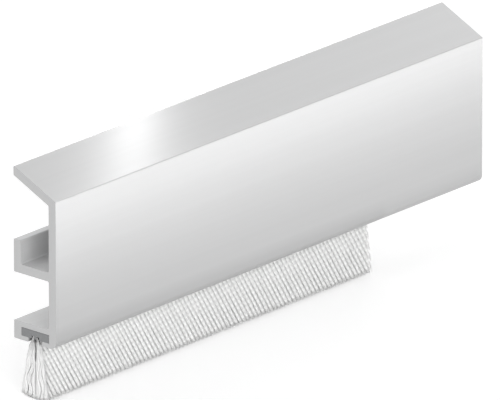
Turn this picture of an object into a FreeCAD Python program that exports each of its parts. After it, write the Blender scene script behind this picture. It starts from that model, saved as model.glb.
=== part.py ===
import FreeCAD, Part
import enum
import math
import os

import Sketcher

# A brush door sweep: an aluminium profile for the outer face of a door, with a strip brush held in
# a slot along its underside. All sizes are in millimetres.
#
# Every piece is drawn in the profile's working axes: x runs along the profile from its near cut
# end, y from the front face towards the door, and z up from the profile's underside. The pieces
# are then placed so that the origin is the middle of the brush carrier's door-side face.

SIZES = (
    ("profile_length", 166.6, "cut length of the profile"),
    ("plate_height", 40.0, "height of the front plate"),
    ("plate_thickness", 2.4, "wall of the front plate"),
    ("flange_angle", 25.1, "rise of the top flange towards the door, in degrees"),
    ("flange_thickness", 2.4, "wall of the top flange"),
    ("leg_level", 18.0, "underside of the hooked leg above the profile's underside"),
    ("leg_height", 8.9, "height of the hooked leg, web and upright together"),
    ("leg_web_thickness", 2.4, "wall of the leg's level web"),
    ("leg_upright_thickness", 2.4, "wall of the leg's upright"),
    ("carrier_roof_thickness", 1.5, "wall above the brush slot"),
    ("carrier_back_thickness", 2.5, "wall between the brush slot and the door"),
    ("lip_thickness", 1.2, "the two lips that hold the strip in its slot"),
    ("bottom_radius", 2.0, "rounding of the front plate's lower edge"),
    ("inner_radius", 0.5, "radius in the corners between the walls"),
    ("edge_radius", 0.3, "radius on the profile's other long edges"),
    ("strip_width", 9.2, "width of the backing strip"),
    ("strip_thickness", 2.2, "thickness of the backing strip"),
    ("strip_edge_radius", 0.3, "radius on the backing strip's long edges"),
    ("strip_play", 0.1, "play of the strip at each side and above it"),
    ("brush_length", 126.7, "cut length of the strip brush"),
    ("weld_depth", 0.8, "how deep the bristle roots are fused into the strip"),
    ("weld_width", 2.6, "width over both bristle rows where they leave the strip"),
    ("root_width", 4.2, "width over both bristle rows at the foot of the lips"),
    ("throat_play", 0.2, "gap between the bristles and the foot of each lip"),
    ("slit_width", 0.5, "gap between the two rows at their roots"),
    ("slit_depth", 5.0, "depth below the profile where that gap has closed"),
    ("row_gap", 0.1, "gap between the two rows below the slit"),
    ("bristle_length", 15.1, "free length of the bristles below the profile"),
    ("front_reach", 4.05, "spread of the front row's tips from the middle of the strip"),
    ("rear_reach", 4.75, "spread of the rear row's tips from the middle of the strip"),
    ("tip_radius", 15.0, "radius that the bristle tips are trimmed to"),
    ("tuft_pitch", 1.52, "spacing of the tufts along the strip"),
    ("tuft_lean", 27.5, "lean of the tufts along the strip, in degrees"),
    ("tuft_groove_width", 0.9, "width of the groove between two tufts"),
    ("tuft_groove_depth", 0.5, "depth of the groove between two tufts"),
)

# Sizes that follow from the ones above.
SLOT_WIDTH = "(sizes.strip_width + 2 * sizes.strip_play)"
SLOT_HEIGHT = "(sizes.strip_thickness + sizes.strip_play)"
SLOT_TOP = f"(sizes.lip_thickness + {SLOT_HEIGHT})"
SLOT_REAR = f"(sizes.plate_thickness + {SLOT_WIDTH})"
STRIP_CENTRE = f"(sizes.plate_thickness + {SLOT_WIDTH} / 2)"
PROFILE_DEPTH = f"({SLOT_REAR} + sizes.carrier_back_thickness)"
CARRIER_HEIGHT = f"({SLOT_TOP} + sizes.carrier_roof_thickness)"
THROAT_REACH = "(sizes.root_width / 2 + sizes.throat_play)"
FLANGE_SLOPE = "tan(sizes.flange_angle)"
FLANGE_DROP = "(sizes.flange_thickness / cos(sizes.flange_angle))"
WELD_TOP = "(sizes.lip_thickness + sizes.weld_depth)"
TIP_CENTRE = "(sizes.tip_radius - sizes.bristle_length)"
LEAN_RUN = "(sizes.bristle_length * tan(sizes.tuft_lean))"

SAME_PLACE = 1e-4


class Ref(enum.IntEnum):
    """The numbers by which a sketch knows its own origin and axes, and the two ends of an edge."""

    ORIGIN = -1
    ACROSS_AXIS = -1
    UP_AXIS = -2
    START = 1
    END = 2


def make_sheet(doc):
    sheet = doc.addObject("Spreadsheet::Sheet", "sizes")
    for row, (name, value, meaning) in enumerate(SIZES, start=1):
        sheet.set(f"A{row}", meaning)
        sheet.set(f"B{row}", str(value))
        sheet.setAlias(f"B{row}", name)
    doc.recompute()


def make_body(doc, label):
    """An empty piece that stands where the profile's working axes are."""
    body = doc.addObject("PartDesign::Body", label)
    body.Label = label
    body.setExpression("Placement.Base.x", "-sizes.profile_length / 2")
    body.setExpression("Placement.Base.y", f"-{PROFILE_DEPTH}")
    body.setExpression("Placement.Base.z", f"-{CARRIER_HEIGHT} / 2")
    return body


def make_sketch(body, name, plane_role):
    """A sketch on one of the piece's own planes."""
    sketch = body.newObject("Sketcher::SketchObject", name)
    plane = next(part for part in body.Origin.OriginFeatures if part.Role == plane_role)
    sketch.AttachmentSupport = [(plane, "")]
    sketch.MapMode = "FlatFace"
    return sketch


def hold_at(sketch, edge, point, axis_kind, axis, name, formula):
    """Hold a point at a distance from the origin that follows a formula."""
    value = float(sketch.evalExpression(formula))
    if formula == "0":
        sketch.addConstraint(Sketcher.Constraint("PointOnObject", edge, point, axis))
        return
    origin = (Ref.ORIGIN, Ref.START)
    index = sketch.addConstraint(Sketcher.Constraint(axis_kind, *origin, edge, point, value))
    sketch.renameConstraint(index, name)
    sketch.setExpression(f"Constraints.{name}", formula)


def draw_outline(sketch, corners, arcs=None):
    """Draw a closed outline and return its corners' places.

    corners holds (name, across, up), with the two distances from the origin as formulas. arcs
    names the corners that a round edge starts from, each with that edge's centre and radius.
    """
    arcs = arcs or {}
    places = {}
    for name, across, up in corners:
        places[name] = FreeCAD.Vector(sketch.evalExpression(across), sketch.evalExpression(up), 0)
    names = list(places)
    ends = []
    for number, name in enumerate(names):
        first, last = places[name], places[names[(number + 1) % len(names)]]
        if name not in arcs:
            edge = sketch.addGeometry(Part.LineSegment(first, last), False)
            ends.append((edge, Ref.START, Ref.END))
            continue
        centre_across, centre_up, radius = arcs[name]
        centre = FreeCAD.Vector(sketch.evalExpression(centre_across), sketch.evalExpression(centre_up), 0)
        turns_left = (first - centre).cross(last - centre).z > 0
        angles = [math.atan2(place.y - centre.y, place.x - centre.x) for place in (first, last)]
        if not turns_left:
            angles.reverse()
        circle = Part.Circle(centre, FreeCAD.Vector(0, 0, 1), sketch.evalExpression(radius))
        edge = sketch.addGeometry(Part.ArcOfCircle(circle, *angles), False)
        ends.append((edge, Ref.START, Ref.END) if turns_left else (edge, Ref.END, Ref.START))
        index = sketch.addConstraint(Sketcher.Constraint("Radius", edge, circle.Radius))
        sketch.renameConstraint(index, f"{name}_radius")
        sketch.setExpression(f"Constraints.{name}_radius", radius)
    for number, (edge, start, _) in enumerate(ends):
        before, _, before_end = ends[number - 1]
        sketch.addConstraint(Sketcher.Constraint("Coincident", before, before_end, edge, start))
        name, across, up = corners[number]
        hold_at(sketch, edge, start, "DistanceX", Ref.UP_AXIS, f"{name}_across", across)
        hold_at(sketch, edge, start, "DistanceY", Ref.ACROSS_AXIS, f"{name}_up", up)
    return places


def extrude(body, sketch, name, length):
    pad = body.newObject("PartDesign::Pad", name)
    pad.Profile = sketch
    pad.setExpression("Length", length)
    return pad


def long_edges(shape, places):
    """Names of the edges that run along the profile through the given places of its section."""
    names = []
    for number, edge in enumerate(shape.Edges, start=1):
        first, last = edge.Vertexes[0].Point, edge.Vertexes[-1].Point
        runs_along = abs(first.y - last.y) < SAME_PLACE and abs(first.z - last.z) < SAME_PLACE
        for place in places:
            if runs_along and math.hypot(first.y - place.x, first.z - place.y) < SAME_PLACE:
                names.append(f"Edge{number}")
    return names


def round_edges(body, name, places, radius):
    """Round the long edges at the given places of the section."""
    body.Document.recompute()
    base = body.Tip
    edges = long_edges(base.Shape, places)
    if len(edges) != len(places):
        raise ValueError(f"{name}: found {len(edges)} edges for {len(places)} corners")
    fillet = body.newObject("PartDesign::Fillet", name)
    fillet.Base = (base, edges)
    fillet.setExpression("Radius", radius)
    return fillet


def make_profile(doc):
    """The aluminium extrusion, drawn as one section and run out to length."""
    body = make_body(doc, "carrier_profile")
    section = make_sketch(body, "profile_section", "YZ_Plane")
    flange_root_up = f"sizes.plate_height + sizes.plate_thickness * {FLANGE_SLOPE} - {FLANGE_DROP}"
    flange_tip_up = f"sizes.plate_height + {PROFILE_DEPTH} * {FLANGE_SLOPE}"
    upright_front = f"{PROFILE_DEPTH} - sizes.leg_upright_thickness"
    leg_floor = "sizes.leg_level + sizes.leg_web_thickness"
    leg_top = "sizes.leg_level + sizes.leg_height"
    corners = (
        ("plate_foot", "0", "0"),
        ("plate_top", "0", "sizes.plate_height"),
        ("flange_tip_top", PROFILE_DEPTH, flange_tip_up),
        ("flange_tip_under", PROFILE_DEPTH, f"{flange_tip_up} - {FLANGE_DROP}"),
        ("flange_root", "sizes.plate_thickness", flange_root_up),
        ("leg_floor_root", "sizes.plate_thickness", leg_floor),
        ("leg_floor_end", upright_front, leg_floor),
        ("upright_top_front", upright_front, leg_top),
        ("upright_top_rear", PROFILE_DEPTH, leg_top),
        ("leg_heel", PROFILE_DEPTH, "sizes.leg_level"),
        ("leg_under_root", "sizes.plate_thickness", "sizes.leg_level"),
        ("carrier_roof_root", "sizes.plate_thickness", CARRIER_HEIGHT),
        ("carrier_roof_rear", PROFILE_DEPTH, CARRIER_HEIGHT),
        ("carrier_heel", PROFILE_DEPTH, "0"),
        ("rear_lip_foot", f"{STRIP_CENTRE} + {THROAT_REACH}", "0"),
        ("rear_lip_top", f"{STRIP_CENTRE} + {THROAT_REACH}", "sizes.lip_thickness"),
        ("slot_rear_floor", SLOT_REAR, "sizes.lip_thickness"),
        ("slot_rear_top", SLOT_REAR, SLOT_TOP),
        ("slot_front_top", "sizes.plate_thickness", SLOT_TOP),
        ("slot_front_floor", "sizes.plate_thickness", "sizes.lip_thickness"),
        ("front_lip_top", f"{STRIP_CENTRE} - {THROAT_REACH}", "sizes.lip_thickness"),
        ("front_lip_foot", f"{STRIP_CENTRE} - {THROAT_REACH}", "0"),
    )
    places = draw_outline(section, corners)
    extrude(body, section, "profile_run", "sizes.profile_length")
    round_edges(body, "lower_front_edge", [places["plate_foot"]], "sizes.bottom_radius")
    inner = ("flange_root", "leg_floor_root", "leg_floor_end", "leg_under_root", "carrier_roof_root")
    round_edges(body, "inner_corners", [places[name] for name in inner], "sizes.inner_radius")
    outer = (
        "plate_top", "flange_tip_top", "flange_tip_under", "upright_top_front", "upright_top_rear",
        "leg_heel", "carrier_roof_rear", "carrier_heel", "rear_lip_foot", "rear_lip_top",
        "front_lip_top", "front_lip_foot",
    )
    round_edges(body, "outer_edges", [places[name] for name in outer], "sizes.edge_radius")
    return body


def make_strip(doc):
    """The backing strip, seated on the lips, with a groove for the roots of each bristle row."""
    body = make_body(doc, "brush_backing")
    section = make_sketch(body, "strip_section", "YZ_Plane")
    front = "sizes.plate_thickness + sizes.strip_play"
    rear = f"{front} + sizes.strip_width"
    top = "sizes.lip_thickness + sizes.strip_thickness"
    corners = [
        ("strip_front_top", front, top),
        ("strip_rear_top", rear, top),
        ("strip_rear_foot", rear, "sizes.lip_thickness"),
    ]
    for side, sign in (("rear", "+"), ("front", "-")):
        outer = f"{STRIP_CENTRE} {sign} sizes.weld_width / 2"
        inner = f"{STRIP_CENTRE} {sign} sizes.slit_width / 2"
        groove = [
            (f"{side}_groove_outer_foot", outer, "sizes.lip_thickness"),
            (f"{side}_groove_outer_top", outer, WELD_TOP),
            (f"{side}_groove_inner_top", inner, WELD_TOP),
            (f"{side}_groove_inner_foot", inner, "sizes.lip_thickness"),
        ]
        corners += groove if side == "rear" else reversed(groove)
    corners.append(("strip_front_foot", front, "sizes.lip_thickness"))
    places = draw_outline(section, corners)
    extrude(body, section, "strip_run", "sizes.brush_length")
    outer_edges = ("strip_front_top", "strip_rear_top", "strip_rear_foot", "strip_front_foot")
    round_edges(body, "strip_edges", [places[name] for name in outer_edges], "sizes.strip_edge_radius")
    return body


def make_bristle_row(doc, side, sign, reach):
    """One row of tufts: a fan in section, scored by leaning grooves between the tufts.

    sign is the side of the strip's middle that the row is on, and reach how far its tips spread.
    """
    body = make_body(doc, f"{side}_bristle_row")
    section = make_sketch(body, f"{side}_row_section", "YZ_Plane")

    def from_centre(distance):
        return f"{STRIP_CENTRE} {sign} {distance}"

    def tip_level(distance):
        return f"{TIP_CENTRE} - sqrt(sizes.tip_radius ^ 2 - ({distance}) ^ 2)"

    weld, root = "sizes.weld_width / 2", "sizes.root_width / 2"
    slit, gap = "sizes.slit_width / 2", "sizes.row_gap / 2"
    corners = (
        ("root_inner", from_centre(slit), WELD_TOP),
        ("root_outer", from_centre(weld), WELD_TOP),
        ("strip_underside", from_centre(weld), "sizes.lip_thickness"),
        ("lip_foot", from_centre(root), "0"),
        ("tip_outer", from_centre(reach), tip_level(reach)),
        ("tip_inner", from_centre(gap), tip_level(gap)),
        ("slit_end", from_centre(gap), "-sizes.slit_depth"),
        ("slit_start", from_centre(slit), "0"),
    )
    arcs = {"tip_outer": (STRIP_CENTRE, TIP_CENTRE, "sizes.tip_radius")}
    draw_outline(section, corners, arcs)
    extrude(body, section, f"{side}_row_run", "sizes.brush_length")
    score_tufts(body, side, sign, root, reach)
    return body


def score_tufts(body, side, sign, root, reach):
    """Cut the V groove between two tufts down the row's outer face and repeat it along the row."""
    notch = make_sketch(body, f"{side}_groove_section", "XY_Plane")
    grooves_before = f"ceil({LEAN_RUN} / sizes.tuft_pitch)"
    first_groove = f"(sizes.tuft_pitch / 2 - {grooves_before} * sizes.tuft_pitch)"
    face = f"{STRIP_CENTRE} {sign} {root}"
    outside = f"{face} {sign} sizes.tuft_groove_depth"
    bottom = f"{face} {'-' if sign == '+' else '+'} sizes.tuft_groove_depth"
    corners = (
        ("groove_near", f"{first_groove} - sizes.tuft_groove_width", outside),
        ("groove_far", f"{first_groove} + sizes.tuft_groove_width", outside),
        ("groove_bottom", first_groove, bottom),
    )
    draw_outline(notch, corners)
    body.Document.recompute()
    ungrooved = body.Tip.Shape.Volume
    groove = body.newObject("PartDesign::Pocket", f"{side}_groove")
    groove.Profile = notch
    groove.Type = "Length"
    groove.AlongSketchNormal = False
    groove.UseCustomVector = True
    flare = f"({reach} - {root}) / sizes.bristle_length"
    groove.setExpression("Direction.x", "tan(sizes.tuft_lean)")
    groove.setExpression("Direction.y", f"{sign} {flare}")
    groove.Direction.z = -1
    groove.setExpression("Length", "2 * sizes.bristle_length / cos(sizes.tuft_lean)")
    pattern = body.newObject("PartDesign::LinearPattern", f"{side}_grooves")
    pattern.Originals = [groove]
    pattern.Direction = (notch, ["H_Axis"])
    pattern.Mode = "Spacing"
    pattern.setExpression("Offset", "sizes.tuft_pitch")
    pattern.setExpression("Occurrences", f"{grooves_before} + ceil(sizes.brush_length / sizes.tuft_pitch)")
    body.Tip = pattern
    body.Document.recompute()
    if not pattern.Shape.Volume < ungrooved:
        raise ValueError(f"{side}: the grooves cut nothing")


def check(doc, bodies):
    """Stop if any feature failed or any piece is not a sound solid."""
    doc.recompute()
    failed = [item.Name for item in doc.Objects if {"Invalid", "Error"} & set(item.State)]
    if failed:
        raise RuntimeError(f"failed features: {failed}")
    for body in bodies:
        if body.Shape.isNull() or not body.Shape.isValid() or not body.Shape.Solids:
            raise RuntimeError(f"{body.Label}: not a sound solid")


def main():
    doc = FreeCAD.newDocument("brush_door_sweep")
    make_sheet(doc)
    bodies = [
        make_profile(doc),
        make_strip(doc),
        make_bristle_row(doc, "front", "-", "sizes.front_reach"),
        make_bristle_row(doc, "rear", "+", "sizes.rear_reach"),
    ]
    check(doc, bodies)
    os.makedirs("parts", exist_ok=True)
    for body in bodies:
        body.Shape.exportStep(f"parts/{body.Label}.step")
        box = body.Shape.BoundBox
        print(f"{body.Label}: {len(body.Shape.Solids)} solid, {body.Shape.Volume:.1f} mm3,",
              f"x {box.XMin:.2f}..{box.XMax:.2f} y {box.YMin:.2f}..{box.YMax:.2f}",
              f"z {box.ZMin:.2f}..{box.ZMax:.2f}")


main()
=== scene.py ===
import math

import bpy
import numpy as np
from bpy.props import FloatProperty, FloatVectorProperty, IntProperty, PointerProperty
from mathutils import Matrix, Vector


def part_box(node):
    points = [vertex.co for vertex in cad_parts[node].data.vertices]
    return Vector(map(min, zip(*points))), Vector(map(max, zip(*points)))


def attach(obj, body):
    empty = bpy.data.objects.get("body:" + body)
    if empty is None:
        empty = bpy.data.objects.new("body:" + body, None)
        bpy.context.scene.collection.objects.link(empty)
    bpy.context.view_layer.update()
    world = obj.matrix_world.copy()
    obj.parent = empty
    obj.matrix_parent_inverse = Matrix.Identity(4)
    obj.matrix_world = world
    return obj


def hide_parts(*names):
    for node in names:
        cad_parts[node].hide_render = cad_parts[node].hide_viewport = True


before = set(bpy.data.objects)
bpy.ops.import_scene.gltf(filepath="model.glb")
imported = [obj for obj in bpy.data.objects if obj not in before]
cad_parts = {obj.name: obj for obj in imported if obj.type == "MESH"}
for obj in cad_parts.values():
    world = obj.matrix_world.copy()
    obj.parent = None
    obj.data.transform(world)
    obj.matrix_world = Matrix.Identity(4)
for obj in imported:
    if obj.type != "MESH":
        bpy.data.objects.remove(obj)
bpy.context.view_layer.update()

bl_info = {
    "name": "Brush Door Sweep",
    "version": (1, 0, 0),
    "blender": (4, 5, 0),
    "location": "View3D > Sidebar > Door Sweep",
    "description": "Finishes an aluminium door bottom profile and lays the bristles of its strip brush",
    "category": "Object",
}

MM = 0.001

PROFILE_LOW, PROFILE_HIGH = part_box("carrier_profile")
STRIP_LOW, STRIP_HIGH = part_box("brush_backing")
FRONT_ROW_LOW, FRONT_ROW_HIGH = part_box("front_bristle_row")
REAR_ROW_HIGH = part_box("rear_bristle_row")[1]

UNDERSIDE = PROFILE_LOW.z
STRIP_MIDDLE = (STRIP_LOW.y + STRIP_HIGH.y) / 2
ROOT_LEVEL = FRONT_ROW_HIGH.z
TIP_LEVEL = FRONT_ROW_LOW.z
NEAR_END = STRIP_LOW.x
FAR_END = STRIP_HIGH.x
WALL = 2.4 * MM
FLANGE_SLOPE = math.radians(25.1)

# A tone changes into its neighbour over this length.
FADE = 2 * MM
# A face is a sawn end where its normal lies this nearly along the profile.
SAWN_LIMIT = 0.95
# A texture of rings has them 1 m apart at this scale.
RING_SCALE = 0.314
# How far the drawn metal's tone and roughness stray to each side.
TONE_SPREAD = 0.015
ROUGH_SPREAD = 0.025


class SweepFinishes(bpy.types.PropertyGroup):
    """Colours and surface values of the materials."""

    aluminium: FloatVectorProperty(
        name="Aluminium", description="Colour of the satin anodised profile",
        default=(0.53, 0.531, 0.533), subtype="COLOR", min=0, max=1,
    )
    aluminium_roughness: FloatProperty(
        name="Aluminium roughness", description="How far the satin finish spreads a reflection",
        default=0.34, min=0, max=1, subtype="FACTOR",
    )
    inner_roughness: FloatProperty(
        name="Inner roughness",
        description="The same inside the channels, which keep the press's duller skin",
        default=0.78, min=0, max=1, subtype="FACTOR",
    )
    # Painted light: the faces inside the channels are made paler than the outer faces.
    painted_inner_light: FloatProperty(
        name="Inner tone", description="How much paler the duller skin is",
        default=1.08, min=0.5, max=1.6,
    )
    # Painted shade: the plate's lower edge is darkened above the brush, and half as much beyond it.
    lower_edge_shade: FloatProperty(
        name="Lower edge tone", description="How dark the plate's lower edge gets above the brush",
        default=0.84, min=0.5, max=1,
    )
    lower_edge_shade_height: FloatProperty(
        name="Lower edge height", description="Height over which the lower edge darkens",
        default=6.0 * MM, unit="LENGTH", precision=5,
    )
    backing: FloatVectorProperty(
        name="Backing strip", description="Colour of the extruded plastic strip",
        default=(0.20, 0.203, 0.207), subtype="COLOR", min=0, max=1,
    )
    bristle: FloatVectorProperty(
        name="Bristles", description="Colour of the outermost filaments",
        default=(0.885, 0.885, 0.88), subtype="COLOR", min=0, max=1,
    )
    # Painted shade: the colour that filaments take deep between the tufts, between the locks and at their
    # roots.
    painted_bristle_shade: FloatVectorProperty(
        name="Bristle core", description="Colour of the filaments deep between the tufts",
        default=(0.57, 0.57, 0.57), subtype="COLOR", min=0, max=1,
    )
    # Painted shade of the crimps, in bands across the tufts: their spacing, slope and depth.
    band_spacing: FloatProperty(
        name="Crimp band spacing", description="Distance from one crimp's darker side to the next",
        default=1.45 * MM, unit="LENGTH", precision=5,
    )
    band_slope: FloatProperty(
        name="Crimp band slope", description="How steeply the bands rise towards the far end",
        default=math.radians(8.6), unit="ROTATION",
    )
    crimp_shade_depth: FloatProperty(
        name="Crimp band depth", description="Difference in tone between a crimp's two sides",
        default=0.15, min=0, max=1, subtype="FACTOR",
    )


class BristleSizes(bpy.types.PropertyGroup):
    """Sizes of the tufts and of their filaments."""

    filament_diameter: FloatProperty(
        name="Filament diameter", description="Diameter of one bristle",
        default=0.29 * MM, unit="LENGTH", precision=5,
    )
    filament_steps: IntProperty(
        name="Filament steps", description="Straight steps that a bristle's course is made of",
        default=12, min=3,
    )
    filaments_across: IntProperty(
        name="Filaments across", description="Filaments side by side in a tuft", default=4, min=2,
    )
    filaments_deep: IntProperty(
        name="Filaments deep", description="Layers of filaments in one row of tufts", default=6, min=2,
    )
    tuft_pitch: FloatProperty(
        name="Tuft pitch", description="Spacing of the tufts along the strip",
        default=1.52 * MM, unit="LENGTH", precision=5,
    )
    tuft_width: FloatProperty(
        name="Tuft width", description="Width of one tuft along the strip",
        default=1.22 * MM, unit="LENGTH", precision=5,
    )
    tuft_lean: FloatProperty(
        name="Tuft lean", description="Lean of the tufts along the strip",
        default=math.radians(27.5), unit="ROTATION",
    )
    tuft_round: FloatProperty(
        name="Tuft rounding", description="How far a tuft's sides fall back behind its middle",
        default=0.12 * MM, unit="LENGTH", precision=5,
    )
    weld_width: FloatProperty(
        name="Weld width", description="Width over both rows where they leave the strip",
        default=1.7 * MM, unit="LENGTH", precision=5,
    )
    root_width: FloatProperty(
        name="Root width", description="Width over both rows at the foot of the lips",
        default=4.2 * MM, unit="LENGTH", precision=5,
    )
    slit_width: FloatProperty(
        name="Slit width", description="Gap between the two rows at their roots",
        default=0.5 * MM, unit="LENGTH", precision=5,
    )
    slit_depth: FloatProperty(
        name="Slit depth", description="Depth below the profile where the slit closes",
        default=5.0 * MM, unit="LENGTH", precision=5,
    )
    row_gap: FloatProperty(
        name="Row gap", description="Gap between the two rows below the slit",
        default=0.1 * MM, unit="LENGTH", precision=5,
    )
    tip_radius: FloatProperty(
        name="Tip radius", description="Radius that the tips are trimmed to",
        default=15.0 * MM, unit="LENGTH", precision=5,
    )
    scatter: FloatProperty(
        name="Scatter", description="How far a tip strays from its place",
        default=0.015 * MM, unit="LENGTH", precision=5,
    )
    crimp_height: FloatProperty(
        name="Crimp height", description="How far a filament waves to each side",
        default=0.015 * MM, unit="LENGTH", precision=5,
    )
    crimp_length: FloatProperty(
        name="Crimp length", description="Length of one wave of the crimp",
        default=6.8 * MM, unit="LENGTH", precision=5,
    )
    end_crimp_height: FloatProperty(
        name="Crimp height at the cut end", description="The same for the loose locks at the near end",
        default=0.6 * MM, unit="LENGTH", precision=5,
    )
    end_locks: IntProperty(
        name="Locks at the cut end", description="Locks that each row parts into at the near end",
        default=3, min=2,
    )
    lock_fill: FloatProperty(
        name="Lock fill", description="Share of its room that a lock at the near end fills",
        default=0.78, min=0, max=1,
    )
    end_filaments: IntProperty(
        name="Filaments over the cut end", description="Filaments of each row that hang over the near end",
        default=60, min=0,
    )
    end_flare: FloatProperty(
        name="Flare at the cut end", description="How far the loose tips at the near end spread further out",
        default=0.4 * MM, unit="LENGTH", precision=5,
    )
    end_bend: FloatProperty(
        name="Bend at the cut end",
        description="Size of the bend that takes a filament away from the near end",
        default=0.3 * MM, unit="LENGTH", precision=5,
    )
    seed: IntProperty(name="Seed", description="Start of the random draws", default=7)


class StageSizes(bpy.types.PropertyGroup):
    """The camera, the floor and the lamps' common values."""

    azimuth: FloatProperty(
        name="Azimuth", description="Direction that the camera looks from, round the upright axis",
        default=math.radians(-48.8), unit="ROTATION",
    )
    elevation: FloatProperty(
        name="Elevation", description="Height of the camera above the horizon",
        default=math.radians(20.0), unit="ROTATION",
    )
    lens: FloatProperty(
        name="Lens", description="Focal length in mm, long because the view is almost parallel",
        default=1300.0, min=1, max=5000,
    )
    frame_width: FloatProperty(
        name="Frame width", description="Width that the picture takes in at the object",
        default=128.33 * MM, unit="LENGTH", precision=5,
    )
    aim: FloatVectorProperty(
        name="Aim", description="The point in the middle of the picture",
        default=(-8.5 * MM, PROFILE_LOW.y, 17.7 * MM), subtype="XYZ", unit="LENGTH", precision=5,
    )
    floor_size: FloatProperty(
        name="Floor size", description="Side of the square floor", default=12.0, unit="LENGTH",
    )
    floor_gap: FloatProperty(
        name="Floor gap", description="Height of the lowest bristle tips above the floor",
        default=0.05 * MM, unit="LENGTH", precision=5,
    )
    floor_lift: FloatProperty(
        name="Floor lift", description="What the floor shows beyond the light that falls on it",
        default=0.40, min=0, max=1,
    )
    sky_light: FloatProperty(
        name="Sky light", description="Strength of the world's light on matt surfaces", default=0.5, min=0,
    )


# Helpers


def deselect_all():
    if bpy.context.object and bpy.context.object.mode != "OBJECT":
        bpy.ops.object.mode_set(mode="OBJECT")
    bpy.ops.object.select_all(action="DESELECT")


def add_node(material_or_world, kind, **settings):
    """A node of the given kind, with its properties and input values set by name."""
    made = material_or_world.node_tree.nodes.new(kind)
    for name, value in settings.items():
        if hasattr(made, name):
            setattr(made, name, value)
        else:
            made.inputs[name.replace("_", " ")].default_value = value
    return made


def link(owner, output, target):
    owner.node_tree.links.new(output, target)


def new_material(name):
    """An empty node material and its Principled shader."""
    material = bpy.data.materials.new(name)
    material.use_nodes = True
    material.node_tree.nodes.clear()
    shader = add_node(material, "ShaderNodeBsdfPrincipled")
    output = add_node(material, "ShaderNodeOutputMaterial")
    link(material, shader.outputs["BSDF"], output.inputs["Surface"])
    return material, shader


def along_lines(material, lengthways, crossways, detail=2.0):
    """Noise drawn out into fine lines along the profile."""
    place = add_node(material, "ShaderNodeTexCoord")
    stretch = add_node(material, "ShaderNodeMapping")
    stretch.inputs["Scale"].default_value = (lengthways, crossways, crossways)
    link(material, place.outputs["Object"], stretch.inputs["Vector"])
    noise = add_node(material, "ShaderNodeTexNoise", Scale=1.0, Detail=detail, Roughness=0.6)
    link(material, stretch.outputs["Vector"], noise.inputs["Vector"])
    return noise.outputs["Fac"]


def to_range(material, source, low, high, from_low=0.3, from_high=0.7):
    """The source's middle values spread over a new range."""
    remap = add_node(material, "ShaderNodeMapRange")
    remap.inputs["From Min"].default_value = from_low
    remap.inputs["From Max"].default_value = from_high
    remap.inputs["To Min"].default_value = low
    remap.inputs["To Max"].default_value = high
    link(material, source, remap.inputs["Value"])
    return remap.outputs["Result"]


def mix_values(material, share, first, second):
    """first where share is 0 and second where it is 1."""
    mix = add_node(material, "ShaderNodeMix", data_type="FLOAT")
    link(material, share, mix.inputs["Factor"])
    link(material, first, mix.inputs["A"])
    link(material, second, mix.inputs["B"])
    return mix.outputs["Result"]


def tint(material, factor, colour):
    """The colour made a little lighter or darker by a factor near 1."""
    scale = add_node(material, "ShaderNodeVectorMath", operation="SCALE")
    scale.inputs[0].default_value = colour
    link(material, factor, scale.inputs["Scale"])
    return scale.outputs["Vector"]


def split_place(material):
    """The X, Y and Z of the shaded point in the object's own axes."""
    place = add_node(material, "ShaderNodeTexCoord")
    split = add_node(material, "ShaderNodeSeparateXYZ")
    link(material, place.outputs["Object"], split.inputs["Vector"])
    return split.outputs


def height_along(material, direction):
    """How far the shaded point lies along a direction in the object's own axes."""
    place = add_node(material, "ShaderNodeTexCoord")
    height = add_node(material, "ShaderNodeVectorMath", operation="DOT_PRODUCT")
    height.inputs[1].default_value = direction
    link(material, place.outputs["Object"], height.inputs[0])
    return height.outputs["Value"]


def is_beyond(material, value, limit):
    """1 where the value is greater than the limit and 0 elsewhere."""
    beyond = add_node(material, "ShaderNodeMath", operation="GREATER_THAN")
    beyond.inputs[1].default_value = limit
    link(material, value, beyond.inputs[0])
    return beyond.outputs["Value"]


def multiply(material, first, second):
    """The product of two values."""
    product = add_node(material, "ShaderNodeMath", operation="MULTIPLY")
    link(material, first, product.inputs[0])
    link(material, second, product.inputs[1])
    return product.outputs["Value"]


def cut_face_share(material):
    """1 on the sawn ends, which face along the profile, and 0 elsewhere."""
    geometry = add_node(material, "ShaderNodeNewGeometry")
    split = add_node(material, "ShaderNodeSeparateXYZ")
    link(material, geometry.outputs["True Normal"], split.inputs["Vector"])
    size = add_node(material, "ShaderNodeMath", operation="ABSOLUTE")
    link(material, split.outputs["X"], size.inputs[0])
    return is_beyond(material, size.outputs["Value"], SAWN_LIMIT)


def inner_face_share(material):
    """1 on the faces inside the profile, behind the plate and under the flange, and 0 elsewhere."""
    depth = height_along(material, (0, 1, 0))
    within_plate = PROFILE_LOW.y + WALL * 0.95
    drop = height_along(material, (0, math.tan(FLANGE_SLOPE), -1))
    within_flange = WALL / 2 - PROFILE_HIGH.z
    return multiply(
        material, is_beyond(material, depth, within_plate), is_beyond(material, drop, within_flange),
    )


def paint_lower_edge_shade(material, tone, finishes):
    """The tone darkened by painted shade towards the lower edge, half as much beyond the brush's far end."""
    place = split_place(material)
    darkest, beyond_brush = finishes.lower_edge_shade, (1 + finishes.lower_edge_shade) / 2
    shade = to_range(material, place["X"], darkest, beyond_brush, FAR_END, FAR_END + FADE)
    lowest, highest = UNDERSIDE + 0.5 * MM, UNDERSIDE + finishes.lower_edge_shade_height
    near_edge = to_range(material, place["Z"], 1, 0, lowest, highest)
    return mix_values(material, near_edge, tone, multiply(material, tone, shade))


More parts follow.
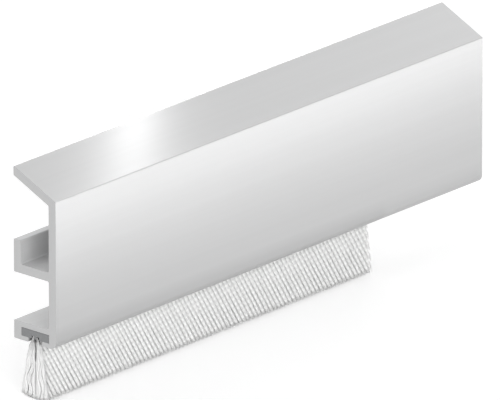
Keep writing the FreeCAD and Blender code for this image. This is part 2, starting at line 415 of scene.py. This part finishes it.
def saw_marks(material, spacing, blade_centre):
    """Shallow arcs left by a round saw blade across a cut end."""
    place = add_node(material, "ShaderNodeTexCoord")
    shift = add_node(material, "ShaderNodeMapping")
    shift.inputs["Location"].default_value = [-value for value in blade_centre]
    shift.inputs["Scale"].default_value = (0.0, 1.0, 1.0)
    link(material, place.outputs["Object"], shift.inputs["Vector"])
    rings = add_node(
        material, "ShaderNodeTexWave", wave_type="RINGS", rings_direction="SPHERICAL",
        Scale=RING_SCALE / spacing, Distortion=3.0, Detail=2.0,
    )
    rings.inputs["Detail Scale"].default_value = 1.5
    link(material, shift.outputs["Vector"], rings.inputs["Vector"])
    return rings.outputs["Fac"]


def turn_lamp(facing, long_side):
    """The rotation of a lamp that faces one way and has its long side along another."""
    back = -Vector(facing).normalized()
    side = Vector(long_side)
    side = (side - side.dot(back) * back).normalized()
    return Matrix((side, back.cross(side), back)).transposed().to_euler()


# Materials


def aluminium_material(finishes):
    """Satin anodised aluminium, with faint die lines along it and saw marks on its cut ends."""
    material, shader = new_material("satin_anodised_aluminium")
    shader.inputs["Metallic"].default_value = 1.0
    fine = along_lines(material, lengthways=6, crossways=5200)
    broad = along_lines(material, lengthways=2.5, crossways=420, detail=3.0)
    inside = inner_face_share(material)
    sawn = cut_face_share(material)
    arcs = saw_marks(material, spacing=0.35 * MM, blade_centre=(0, 90 * MM, -60 * MM))

    outer_tone, painted_inner_light = (
        to_range(material, broad, middle - TONE_SPREAD, middle + TONE_SPREAD)
        for middle in (1, finishes.painted_inner_light)
    )
    # Painted light: a paler tone on the faces inside the channels.
    drawn_tone = mix_values(material, inside, outer_tone, painted_inner_light)
    # Painted shade along the plate's lower edge.
    drawn_tone = paint_lower_edge_shade(material, drawn_tone, finishes)
    sawn_tone = to_range(material, arcs, 0.92, 1.0, from_low=0, from_high=1)
    tone = mix_values(material, sawn, drawn_tone, sawn_tone)
    link(material, tint(material, tone, finishes.aluminium), shader.inputs["Base Color"])

    rough = finishes.aluminium_roughness
    outer_rough, inner_rough = (
        to_range(material, fine, middle - ROUGH_SPREAD, middle + ROUGH_SPREAD)
        for middle in (rough, finishes.inner_roughness)
    )
    drawn_rough = mix_values(material, inside, outer_rough, inner_rough)
    sawn_rough = to_range(material, arcs, rough + 0.02, rough + 0.10, from_low=0, from_high=1)
    link(material, mix_values(material, sawn, drawn_rough, sawn_rough), shader.inputs["Roughness"])

    bump = add_node(material, "ShaderNodeBump", Strength=0.25, Distance=0.004 * MM)
    link(material, mix_values(material, sawn, fine, arcs), bump.inputs["Height"])
    link(material, bump.outputs["Normal"], shader.inputs["Normal"])
    return material


def backing_material(finishes):
    """Matt dark plastic with faint extrusion lines."""
    material, shader = new_material("extruded_backing_plastic")
    lines = along_lines(material, lengthways=8, crossways=2600)
    tone = to_range(material, lines, 0.93, 1.07)
    link(material, tint(material, tone, finishes.backing), shader.inputs["Base Color"])
    link(material, to_range(material, lines, 0.5, 0.62), shader.inputs["Roughness"])
    bump = add_node(material, "ShaderNodeBump", Strength=0.3, Distance=0.01 * MM)
    link(material, lines, bump.inputs["Height"])
    link(material, bump.outputs["Normal"], shader.inputs["Normal"])
    return material


def painted_crimp_bands(material, finishes):
    """A painted shade that swings in soft bands across the tufts, standing in for the shaded sides of crimps
    lying side by side.
    """
    turns = 2 * math.pi / finishes.band_spacing
    slope = finishes.band_slope
    angle = height_along(material, (-turns * math.sin(slope), 0, turns * math.cos(slope)))
    swing = add_node(material, "ShaderNodeMath", operation="SINE")
    link(material, angle, swing.inputs[0])
    half = finishes.crimp_shade_depth / 2
    darkness = to_range(material, swing.outputs["Value"], half, -half, from_low=-1, from_high=1)

    # The locks at the cut end lie loose, so their crimps form no bands.
    inward = to_range(material, split_place(material)["X"], 0, 1, NEAR_END, NEAR_END + FADE)
    tone = add_node(material, "ShaderNodeMath", operation="SUBTRACT")
    tone.inputs[0].default_value = 1
    link(material, multiply(material, darkness, inward), tone.inputs[1])
    return tone.outputs["Value"]


def bristle_material(finishes):
    """White crimped filaments, greyed by painted shade where they lie deep between the tufts and in the
    crimp bands.
    """
    material, shader = new_material("white_filament")
    # Painted shade: the openness attribute mixes the shade colour into the bristle colour.
    painted_openness = add_node(material, "ShaderNodeAttribute", attribute_name="painted_openness")
    mix = add_node(material, "ShaderNodeMix", data_type="RGBA")
    mix.inputs["A"].default_value = (*finishes.painted_bristle_shade, 1)
    mix.inputs["B"].default_value = (*finishes.bristle, 1)
    link(material, painted_openness.outputs["Fac"], mix.inputs["Factor"])
    banded = add_node(material, "ShaderNodeVectorMath", operation="SCALE")
    link(material, mix.outputs["Result"], banded.inputs[0])
    # Painted shade of the crimps scales the bristle colour.
    link(material, painted_crimp_bands(material, finishes), banded.inputs["Scale"])
    link(material, banded.outputs["Vector"], shader.inputs["Base Color"])
    place = add_node(material, "ShaderNodeTexCoord")
    speckle = add_node(material, "ShaderNodeTexNoise", Scale=1 / (0.4 * MM), Detail=2.0)
    link(material, place.outputs["Object"], speckle.inputs["Vector"])
    link(material, to_range(material, speckle.outputs["Fac"], 0.42, 0.56), shader.inputs["Roughness"])
    return material


def background_rays(owner):
    """1 for the rays that show the background: straight on, mirrored and through clear parts."""
    rays = add_node(owner, "ShaderNodeLightPath")
    share = rays.outputs["Is Camera Ray"]
    for kind in ("Is Glossy Ray", "Is Transmission Ray"):
        larger = add_node(owner, "ShaderNodeMath", operation="MAXIMUM")
        link(owner, share, larger.inputs[0])
        link(owner, rays.outputs[kind], larger.inputs[1])
        share = larger.outputs["Value"]
    return share


def floor_material(lift):
    """A white floor that keeps the object's shadow."""
    material, shader = new_material("white_floor")
    shader.inputs["Base Color"].default_value = (0.80, 0.80, 0.80, 1)
    shader.inputs["Roughness"].default_value = 0.9
    shader.inputs["Emission Color"].default_value = (1, 1, 1, 1)
    strength = to_range(material, background_rays(material), 0, lift, from_low=0, from_high=1)
    link(material, strength, shader.inputs["Emission Strength"])
    return material


# Bristles


# Share of a filament's thickness that its trimmed tip has.
TIP_TAPER = 0.7
# Share of the slit's depth at which it starts to close.
SLIT_HOLDS = 0.7
# Least lean at which a filament can reach the far end at all.
LEAST_LEAN = 0.01
# Depth below the profile at which the crimp has its full height.
CRIMP_GROWTH = 3 * MM
# Share of the crimp that runs along the profile.
CRIMP_SIDEWAYS = 0.4
# Share of a lock's wave that the line on the brush's outer face has.
OUTER_LINE_SHARE = 0.2
# A filament's openness sets its painted shade: the less open, the nearer its colour comes to the painted
# bristle shade.
# How much less open a filament lies at a tuft's side, and in the innermost layer at its root.
SIDE_SHADE = 0.1
INNER_SHADE = 0.25
# How open a lock's middle lies, and how much less open its sides lie.
LOCK_OPENNESS = 0.65
LOCK_SIDE_SHADE = 0.4
# How open the roots lie, which paints shade into the throat, and the depth below the profile over which that
# grows by 1.
ROOT_OPENNESS = 0.2
ROOT_SHADE_DEPTH = 4 * MM
# How far a filament's openness strays.
OPENNESS_SCATTER = 0.05


def model_filament(sizes):
    """One straight filament of unit length, standing on the origin, with a narrower trimmed tip."""
    deselect_all()
    bpy.ops.mesh.primitive_circle_add(vertices=3, radius=sizes.filament_diameter / 2, fill_type="NGON")
    filament = bpy.context.object
    filament.name = "single_filament"
    bpy.ops.object.mode_set(mode="EDIT")
    bpy.ops.mesh.select_all(action="SELECT")
    step = 1 / sizes.filament_steps
    for _ in range(sizes.filament_steps):
        bpy.ops.mesh.extrude_region_move(TRANSFORM_OT_translate={"value": (0, 0, step)})
    bpy.ops.transform.resize(value=(TIP_TAPER, TIP_TAPER, 1))
    bpy.ops.mesh.select_all(action="SELECT")
    bpy.ops.mesh.normals_make_consistent(inside=False)
    bpy.ops.object.mode_set(mode="OBJECT")
    return filament


def tuft_places(sizes, full):
    """Where the filaments of one tuft stand: across it from -1 to 1, out through the row from 0 to 1.

    A tuft that isn't full has only its two outer layers complete.
    """
    places = []
    for layer in range(sizes.filaments_deep):
        shift = 0.5 if layer % 2 else 0.0
        outer = layer >= sizes.filaments_deep - 2
        for number in range(sizes.filaments_across):
            across = (number + shift) / (sizes.filaments_across - 0.5) * 2 - 1
            if full or outer or number % 2 == layer % 2:
                places.append((across, layer / (sizes.filaments_deep - 1)))
    return np.array(places)


def filament_starts(sizes, draw):
    """Every filament of a row: its place along the profile's underside and in its tuft, and its lean.

    The tufts before the near end are those whose tips fill the corner that the lean leaves there.
    The last filaments hang straight down over the cut end.
    """
    lean = math.tan(sizes.tuft_lean)
    lean_run = (UNDERSIDE - TIP_LEVEL) * lean
    before = math.ceil(lean_run / sizes.tuft_pitch)
    tufts = round((FAR_END - NEAR_END) / sizes.tuft_pitch)
    half = (sizes.tuft_width - sizes.filament_diameter) / 2
    starts, places = [], []
    for tuft in range(-before, tufts):
        in_tuft = tuft_places(sizes, full=tuft >= 0)
        starts.append(NEAR_END + (tuft + 0.5) * sizes.tuft_pitch + in_tuft[:, 0] * half)
        places.append(in_tuft)
    start, (across, outward) = np.concatenate(starts), np.concatenate(places).T
    start = start + draw.normal(0, sizes.scatter / 2, len(start))

    hanging = np.linspace(0, 1, sizes.end_filaments)
    start = np.append(start, NEAR_END + sizes.filament_diameter * (0.5 + np.arange(len(hanging)) % 2))
    across, outward = np.append(across, hanging * 0), np.append(outward, hanging)
    return start, across, outward, np.where(np.arange(len(start)) < len(start) - len(hanging), lean, 0)


def fan_out(sizes, reach, level, across, outward):
    """Distance of a filament from the strip's middle plane, from the weld out to the tips."""
    radius = sizes.filament_diameter / 2
    below = np.clip(UNDERSIDE - level, 0, None)
    throat = np.clip((STRIP_LOW.z - level) / (STRIP_LOW.z - UNDERSIDE), 0, 1)
    fan = below / (UNDERSIDE - TIP_LEVEL)
    closing = np.clip((below / sizes.slit_depth - SLIT_HOLDS) / (1 - SLIT_HOLDS), 0, 1)
    inner = (sizes.slit_width * (1 - closing) + sizes.row_gap * closing) / 2 + radius
    outer = (sizes.weld_width * (1 - throat) + sizes.root_width * throat) / 2
    outer = outer + (reach - sizes.root_width / 2) * fan - radius
    return inner + (outer - inner) * outward - sizes.tuft_round * across**2 * outward * throat


def row_courses(sizes, reach, draw):
    """The points of every filament of a row, from the strip to the tip, and how open each one lies, which
    sets its painted shade.

    Each point is (along the profile, away from the strip's middle plane, level).
    """
    radius = sizes.filament_diameter / 2
    start, across, outward, lean = filament_starts(sizes, draw)
    count = len(start)

    tip_middle = TIP_LEVEL + sizes.tip_radius
    tip_away = fan_out(sizes, reach, TIP_LEVEL, across, outward)
    trim = tip_middle - np.sqrt(sizes.tip_radius**2 - tip_away**2)
    trim = trim + np.abs(draw.normal(0, sizes.scatter, count))
    end_trim = UNDERSIDE - (FAR_END - radius - start) / np.maximum(lean, LEAST_LEAN)
    tip = np.maximum(trim, end_trim)
    kept = tip < UNDERSIDE - 2 * sizes.filament_diameter
    start, across, outward, lean, tip = start[kept], across[kept], outward[kept], lean[kept], tip[kept]
    count = len(start)

    share = np.linspace(0, 1, sizes.filament_steps + 1)
    level = ROOT_LEVEL + (tip - ROOT_LEVEL)[:, None] * share
    below = np.clip(UNDERSIDE - level, 0, None)
    fan = below / (UNDERSIDE - TIP_LEVEL)

    # A filament that would start before the near end runs down beside it until its lean takes it away.
    past_end = start[:, None] + below * lean[:, None] - NEAR_END - radius
    along = NEAR_END + radius + (past_end + np.sqrt(past_end**2 + sizes.end_bend**2)) / 2

    # Near the cut end the filaments part into locks. The lines between the locks wave, each its own
    # way, and a lock's filaments fill the room between its two lines.
    at_end = np.clip(1 - (along - NEAR_END - radius) / sizes.tuft_pitch, 0, 1)
    turns = 2 * math.pi * below / sizes.crimp_length
    growth = np.clip(below / CRIMP_GROWTH, 0, 1)
    swings = np.full(sizes.end_locks + 1, sizes.end_crimp_height)
    swings[0], swings[-1] = 0, sizes.end_crimp_height * OUTER_LINE_SHARE
    phases = draw.uniform(0, 2 * math.pi, sizes.end_locks + 1)
    lock = np.minimum((outward * sizes.end_locks).astype(int), sizes.end_locks - 1)
    in_lock = outward * sizes.end_locks - lock
    groove = np.full(sizes.end_locks + 1, (1 - sizes.lock_fill) / 2)
    groove[0] = groove[-1] = 0
    filled = (groove[lock] + in_lock * (1 - groove[lock] - groove[lock + 1]))[:, None]
    inner_line, outer_line = (
        swings[line][:, None] * np.sin(turns + phases[line][:, None]) for line in (lock, lock + 1)
    )
    lock_wave = (inner_line * (1 - filled) + outer_line * filled) * at_end
    gathered = (lock[:, None] + filled) / sizes.end_locks
    outward_at = outward[:, None] + (gathered - outward[:, None]) * at_end
    away = fan_out(sizes, reach, level, across[:, None] * (1 - at_end), outward_at)
    away = away + outward_at * sizes.end_flare * fan * at_end
    own_wave = np.sin(turns + draw.uniform(0, 2 * math.pi, count)[:, None]) * sizes.crimp_height
    away = away + (own_wave + lock_wave) * growth + draw.normal(0, sizes.scatter, count)[:, None] * fan
    along = along + own_wave * growth * CRIMP_SIDEWAYS
    along = along + draw.normal(0, sizes.scatter, count)[:, None] * fan
    along = np.clip(along, NEAR_END + radius, FAR_END - radius)
    away = np.clip(away, radius, reach + sizes.end_flare * at_end)

    # Painted shade: filaments at a tuft's sides, in its inner layers, between the locks at the cut end and
    # at the roots are made less open, so greyer.
    inner_shade = INNER_SHADE * (1 - outward[:, None]) * (1 - fan)
    side_openness = 1 - SIDE_SHADE * np.abs(across[:, None]) ** 3 - inner_shade
    end_openness = LOCK_OPENNESS - LOCK_SIDE_SHADE * np.abs(2 * in_lock - 1)[:, None] ** 3
    painted_openness = side_openness * (1 - at_end) + end_openness * at_end
    painted_openness = painted_openness * np.clip(ROOT_OPENNESS + below / ROOT_SHADE_DEPTH, 0, 1)
    painted_openness = np.clip(painted_openness + draw.normal(0, OPENNESS_SCATTER, count)[:, None], 0, 1)
    return np.stack([along, away, level], axis=2), painted_openness


def lay_row(name, sizes, side, reach, filament, draw):
    """One row of bristles: copies of the one filament, each bent along its own course.

    side is -1 for the row nearer the front and 1 for the one nearer the door.
    """
    courses, painted_openness = row_courses(sizes, reach, draw)
    shape = np.array([vertex.co for vertex in filament.data.vertices])
    step = np.rint(shape[:, 2] * sizes.filament_steps).astype(int)
    points = courses[:, step, :]
    points[:, :, 1] = STRIP_MIDDLE + side * points[:, :, 1]
    points[:, :, :2] += shape[:, :2]
    each = [tuple(face.vertices) for face in filament.data.polygons]
    faces = [
        [corner + number * len(shape) for corner in face]
        for number in range(len(courses)) for face in each
    ]
    mesh = bpy.data.meshes.new(name)
    mesh.from_pydata(points.reshape(-1, 3), [], faces)
    # Each point keeps its painted shade as openness.
    mesh.attributes.new("painted_openness", "FLOAT", "POINT").data.foreach_set("value", painted_openness[:, step].ravel())
    mesh.shade_smooth()
    mesh.polygons.foreach_set("use_smooth", [len(face) == 4 for face in faces])
    row = bpy.data.objects.new(name, mesh)
    bpy.context.scene.collection.objects.link(row)
    return row


# Operators


class SWEEP_OT_set_camera(bpy.types.Operator):
    """Place the camera at the picture's viewing angle"""

    bl_idname = "door_sweep.set_camera"
    bl_label = "Set camera"

    def execute(self, context):
        stage = context.scene.sweep_stage
        back = Vector((
            math.sin(stage.azimuth) * math.cos(stage.elevation),
            -math.cos(stage.azimuth) * math.cos(stage.elevation),
            math.sin(stage.elevation),
        ))
        bpy.ops.object.camera_add()
        camera = context.object
        camera.name = "photo_camera"
        camera.data.lens = stage.lens
        distance = stage.frame_width / 2 * stage.lens / (camera.data.sensor_width / 2)
        camera.location = Vector(stage.aim) + back * distance
        camera.rotation_euler = (-back).to_track_quat("-Z", "Y").to_euler()
        camera.data.clip_start, camera.data.clip_end = 0.1, 100.0
        context.scene.camera = camera
        return {"FINISHED"}


class SWEEP_OT_finish_profile(bpy.types.Operator):
    """Give the aluminium profile its satin finish"""

    bl_idname = "door_sweep.finish_profile"
    bl_label = "Finish profile"

    def execute(self, context):
        material = aluminium_material(context.scene.sweep_finishes)
        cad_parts["carrier_profile"].material_slots[0].material = material
        return {"FINISHED"}


class SWEEP_OT_finish_backing(bpy.types.Operator):
    """Give the backing strip its matt plastic"""

    bl_idname = "door_sweep.finish_backing"
    bl_label = "Finish backing strip"

    def execute(self, context):
        material = backing_material(context.scene.sweep_finishes)
        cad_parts["brush_backing"].material_slots[0].material = material
        return {"FINISHED"}


class SWEEP_OT_lay_bristles(bpy.types.Operator):
    """Model one filament and lay the two rows of bristles with it"""

    bl_idname = "door_sweep.lay_bristles"
    bl_label = "Lay bristles"

    def execute(self, context):
        sizes = context.scene.sweep_bristles
        draw = np.random.default_rng(sizes.seed)
        material = bristle_material(context.scene.sweep_finishes)
        filament = model_filament(sizes)
        rows = (
            ("front_bristles", "front_bristle_row", -1, STRIP_MIDDLE - FRONT_ROW_LOW.y),
            ("rear_bristles", "rear_bristle_row", 1, REAR_ROW_HIGH.y - STRIP_MIDDLE),
        )
        for name, node, side, reach in rows:
            row = lay_row(name, sizes, side, reach, filament, draw)
            row.data.materials.append(material)
            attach(row, "root")
            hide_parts(node)
        bpy.data.objects.remove(filament)
        return {"FINISHED"}


class SWEEP_OT_set_stage(bpy.types.Operator):
    """Lay the white floor, and set the lamps and the world"""

    bl_idname = "door_sweep.set_stage"
    bl_label = "Set stage"

    def execute(self, context):
        stage = context.scene.sweep_stage
        deselect_all()
        floor_place = (0, 0, TIP_LEVEL - stage.floor_gap)
        bpy.ops.mesh.primitive_plane_add(size=stage.floor_size, location=floor_place)
        floor = context.object
        floor.name = "floor"
        bpy.ops.object.transform_apply(location=True)
        floor.data.materials.append(floor_material(stage.floor_lift))
        for name, place, facing, long_side, size, power in LAMPS:
            bpy.ops.object.light_add(type="AREA", location=place, rotation=turn_lamp(facing, long_side))
            lamp = context.object
            lamp.name = name
            lamp.data.shape = "RECTANGLE"
            lamp.data.size, lamp.data.size_y = size
            lamp.data.energy = power
            lamp.visible_camera = False
        world = bpy.data.worlds.new("studio")
        context.scene.world = world
        world.use_nodes = True
        background = world.node_tree.nodes["Background"]
        background.inputs["Color"].default_value = (1, 1, 1, 1)
        strength = to_range(
            world, background_rays(world), stage.sky_light, 1, from_low=0, from_high=1,
        )
        link(world, strength, background.inputs["Strength"])
        context.scene.view_settings.view_transform = "Standard"
        return {"FINISHED"}


# Name, place, the way it faces, the way its long side runs, long and short side in metres, watts.
# The flange's strip stands where the flange mirrors it to the camera, as one bright bar.
LAMPS = (
    ("left_softbox", (-1.1, -1.1, 0.25), (1.05, 1.1, -0.26), (1, -1, 0), (1.6, 0.5), 13.4),
    ("front_softbox", (-0.8, -1.35, 0.25), (0.75, 1.35, -0.26), (1.35, -0.75, 0), (1.0, 0.5), 8.6),
    ("right_softbox", (1.2, 0, 0.5), (-1.2, 0, -0.5), (0, 1, 0), (0.8, 0.8), 1.7),
    ("back_softbox", (0, 0.8, 0.8), (0, -1, -1), (1, 0, 0), (1.0, 1.0), 1.6),
    ("rear_fill", (0.9, 1.1, 0.14), (-0.9, -1.1, -0.14), (1.1, -0.9, 0), (1.2, 0.28), 9.0),
    ("floor_strip", (0.1, -0.1243, -0.0156), (0, 0, 1), (1, 0, 0), (1.2, 0.03), 0.34),
    (
        "flange_strip", (0.0027, 0.0021, 0.0894), (-0.7065, -0.1339, -0.6949),
        (0.279, 0.850, -0.447), (0.18, 0.008), 0.0092,
    ),
)


class SWEEP_PT_panel(bpy.types.Panel):
    """Lists the steps in their order"""

    bl_idname = "SWEEP_PT_panel"
    bl_label = "Brush Door Sweep"
    bl_space_type = "VIEW_3D"
    bl_region_type = "UI"
    bl_category = "Door Sweep"

    def draw(self, context):
        for operator in OPERATORS:
            self.layout.operator(operator.bl_idname)
        for settings in SETTINGS:
            box = self.layout.box()
            group = getattr(context.scene, settings)
            for name in group.bl_rna.properties.keys():
                if name not in ("rna_type", "name"):
                    box.prop(group, name)


OPERATORS = (
    SWEEP_OT_set_camera, SWEEP_OT_finish_profile, SWEEP_OT_finish_backing,
    SWEEP_OT_lay_bristles, SWEEP_OT_set_stage,
)
SETTINGS = {"sweep_finishes": SweepFinishes, "sweep_bristles": BristleSizes, "sweep_stage": StageSizes}


def register():
    for kind in (*SETTINGS.values(), *OPERATORS, SWEEP_PT_panel):
        bpy.utils.register_class(kind)
    for name, kind in SETTINGS.items():
        setattr(bpy.types.Scene, name, PointerProperty(type=kind))


def unregister():
    for name in SETTINGS:
        delattr(bpy.types.Scene, name)
    for kind in reversed((*SETTINGS.values(), *OPERATORS, SWEEP_PT_panel)):
        bpy.utils.unregister_class(kind)


def main():
    register()
    bpy.ops.door_sweep.set_camera()
    bpy.ops.door_sweep.finish_profile()
    bpy.ops.door_sweep.finish_backing()
    bpy.ops.door_sweep.lay_bristles()
    bpy.ops.door_sweep.set_stage()


if __name__ == "__main__":
    main()
